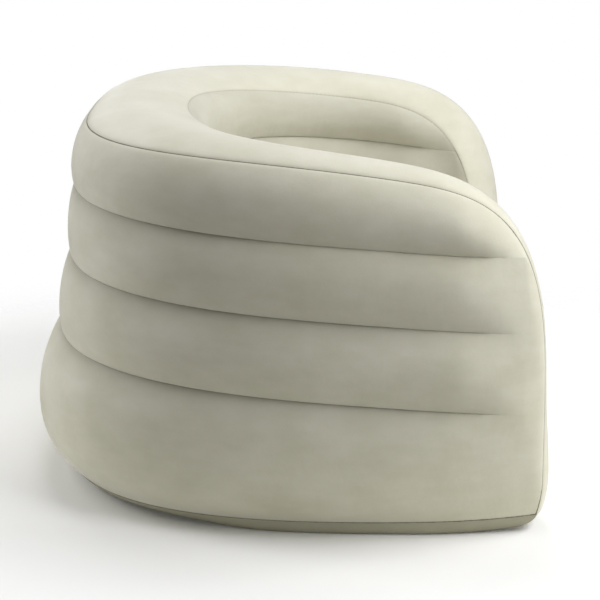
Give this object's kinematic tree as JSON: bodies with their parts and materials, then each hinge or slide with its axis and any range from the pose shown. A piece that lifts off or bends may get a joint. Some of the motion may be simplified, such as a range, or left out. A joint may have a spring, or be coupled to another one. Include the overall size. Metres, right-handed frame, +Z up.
{
  "type": "inflatable sofa",
  "caption": "Inflatable two-seat sofa: a horseshoe wall with level air channels and a smooth rounded rim around a channelled air seat, in flocked film.",
  "frame": {"origin": "on the floor, under the middle of the sofa's box", "axes": "+X across the sofa, towards its left arm for someone who sits in it; +Y towards its back; +Z up"},
  "size_m": [1.33, 0.9592, 0.715],
  "materials": {
    "flocked_film": "velvety flock on vinyl film, sage grey",
    "base_vinyl": "plain dark sage vinyl",
    "web_vinyl": "plain light vinyl",
    "valve_vinyl": "moulded vinyl, satin",
    "soft_vinyl": "soft clear-grey vinyl"
  },
  "bodies": {
    "sofa": {"base_panel": "base_vinyl", "outer_wall_panel": "flocked_film", "rim_panel": "flocked_film", "inner_wall_panel": "flocked_film", "seat_top_panel": "flocked_film", "seat_front_panel": "flocked_film", "wall_web_1": "web_vinyl", "wall_web_2": "web_vinyl", "wall_web_3": "web_vinyl", "seat_web_1": "web_vinyl", "seat_web_2": "web_vinyl", "seat_web_3": "web_vinyl", "valve_flange": "valve_vinyl"},
    "insert": {"valve_insert": "valve_vinyl", "valve_gasket": "soft_vinyl"},
    "cap": {"valve_cap": "valve_vinyl"},
    "flap": {"check_flap": "soft_vinyl"}
  },
  "joints": [
    {"name": "insert_pull", "type": "slide", "parent": "sofa", "child": "insert", "axis": [0.2065, 0.978, 0.0281], "range_m": [0, 0.03]},
    {"name": "cap_strap", "type": "hinge", "parent": "insert", "child": "cap", "pos_m": [0.26574, 0.4658, 0.17574], "axis": [-0.9784, 0.2066, 0], "range_deg": [0, 150]},
    {"name": "flap_hinge", "type": "hinge", "parent": "insert", "child": "flap", "pos_m": [0.26128, 0.44466, 0.21124], "axis": [-0.9784, 0.2066, 0], "range_deg": [0, 60], "stiffness_Nm_per_rad": 0.0005}
  ]
}
